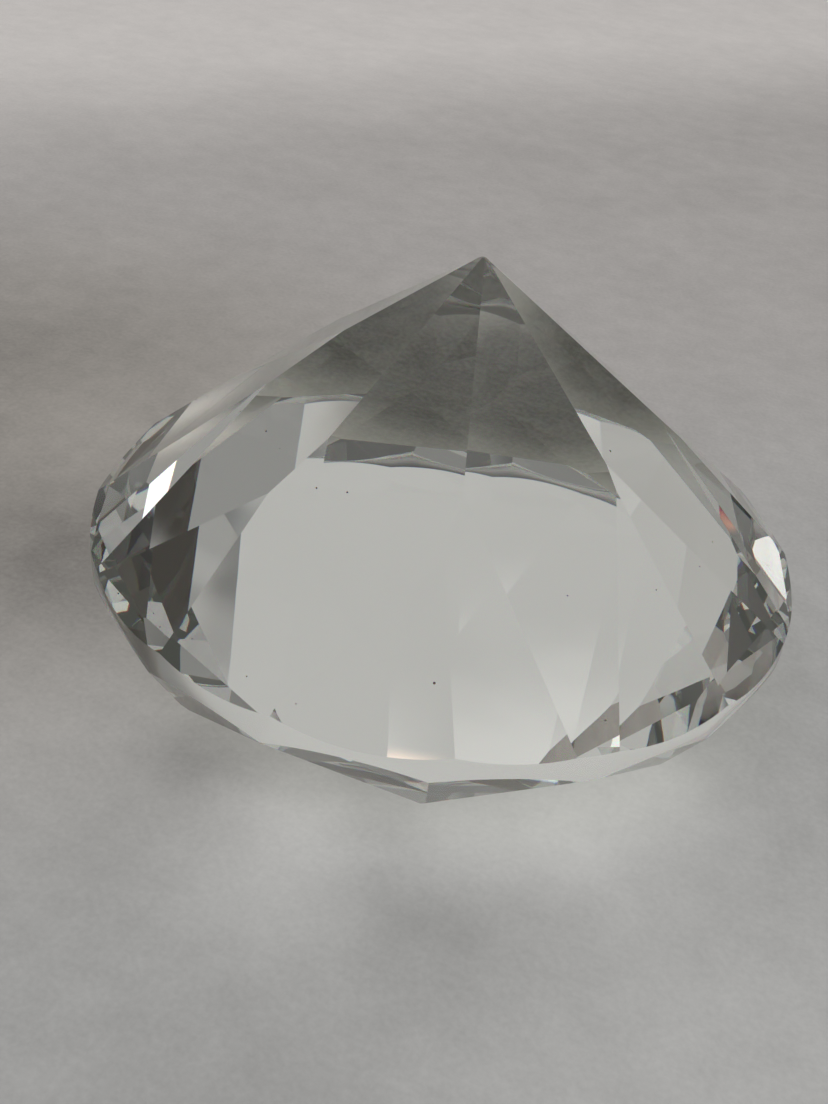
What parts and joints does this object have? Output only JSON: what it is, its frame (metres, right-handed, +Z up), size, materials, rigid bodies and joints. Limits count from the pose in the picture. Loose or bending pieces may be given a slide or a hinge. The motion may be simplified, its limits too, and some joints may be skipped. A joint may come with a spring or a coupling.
{
  "type": "paperweight",
  "caption": "Clear faceted glass paperweight cut like a round brilliant gem, resting on its flat table with the point up.",
  "frame": {"origin": "centre of the flat table, the octagonal face the paperweight rests on", "axes": "+Z up through the point, along the gem's axis; -Y through the middle of a pavilion main and of the crown kite below it; +X through the middle of another main, a quarter turn away"},
  "size_m": [0.08, 0.08, 0.047],
  "materials": {
    "crystal_glass": "polished"
  },
  "bodies": {
    "root": {"crystal_body": "crystal_glass"}
  },
  "joints": []
}
